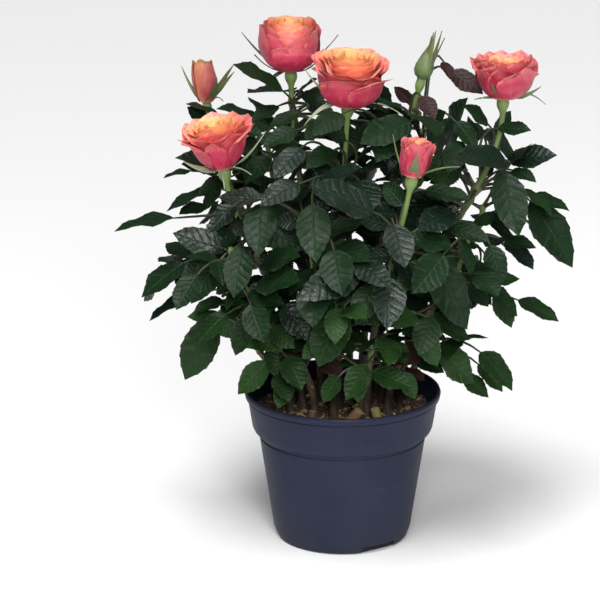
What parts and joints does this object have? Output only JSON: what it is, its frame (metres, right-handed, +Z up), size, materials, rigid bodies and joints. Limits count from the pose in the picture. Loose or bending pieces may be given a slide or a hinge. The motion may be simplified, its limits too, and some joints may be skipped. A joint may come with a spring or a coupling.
{
  "type": "potted patio rose bush",
  "caption": "Compact rose bush in a round nursery pot, with upright canes, glossy compound leaves, open ruffled blooms and buds above the crown.",
  "frame": {"origin": "middle of the pot's flat underside", "axes": "+Z up through the pot, front of the plant towards -Y, +X to the right seen from the front"},
  "size_m": [0.3003, 0.2407, 0.3432],
  "materials": {
    "pot_plastic": "dark slate-blue moulded plastic with a soft sheen",
    "soil_peat": "dark crumbly potting soil",
    "cane_bark": "green-brown young bark",
    "leaf_green": "glossy dark green leaves",
    "petal_coral": "soft satin petals, orange inside and coral to crimson outside",
    "bud_green": "satin light green bud",
    "stump_wood": "dry pale wood"
  },
  "bodies": {
    "root": {"cane_centre": "cane_bark", "cane_far_left": "cane_bark", "cane_far_right": "cane_bark", "cane_front": "cane_bark", "cane_left": "cane_bark", "cane_left_back": "cane_bark", "cane_left_front": "cane_bark", "cane_low_back": "cane_bark", "cane_low_front": "cane_bark", "cane_low_left": "cane_bark", "cane_low_right": "cane_bark", "cane_middle_back": "cane_bark", "cane_middle_front": "cane_bark", "cane_right": "cane_bark", "cane_right_back": "cane_bark", "cane_right_front": "cane_bark", "cane_top": "cane_bark", "cane_upper_left": "cane_bark", "cane_upper_right": "cane_bark", "flower_centre": "petal_coral", "flower_front": "petal_coral", "flower_left": "petal_coral", "flower_right": "petal_coral", "flower_top": "petal_coral", "flower_upper_left": "petal_coral", "flower_upper_right": "bud_green", "leaves_centre": "leaf_green", "leaves_far_left": "leaf_green", "leaves_far_right": "leaf_green", "leaves_front": "leaf_green", "leaves_left": "leaf_green", "leaves_left_back": "leaf_green", "leaves_left_front": "leaf_green", "leaves_low_back": "leaf_green", "leaves_low_front": "leaf_green", "leaves_low_left": "leaf_green", "leaves_low_right": "leaf_green", "leaves_middle_back": "leaf_green", "leaves_middle_front": "leaf_green", "leaves_right": "leaf_green", "leaves_right_back": "leaf_green", "leaves_right_front": "leaf_green", "leaves_top": "leaf_green", "leaves_upper_left": "leaf_green", "leaves_upper_right": "leaf_green", "pot": "pot_plastic", "soil": "soil_peat", "stump_green": "stump_wood", "stump_old": "stump_wood", "stump_woody": "stump_wood"}
  },
  "joints": []
}
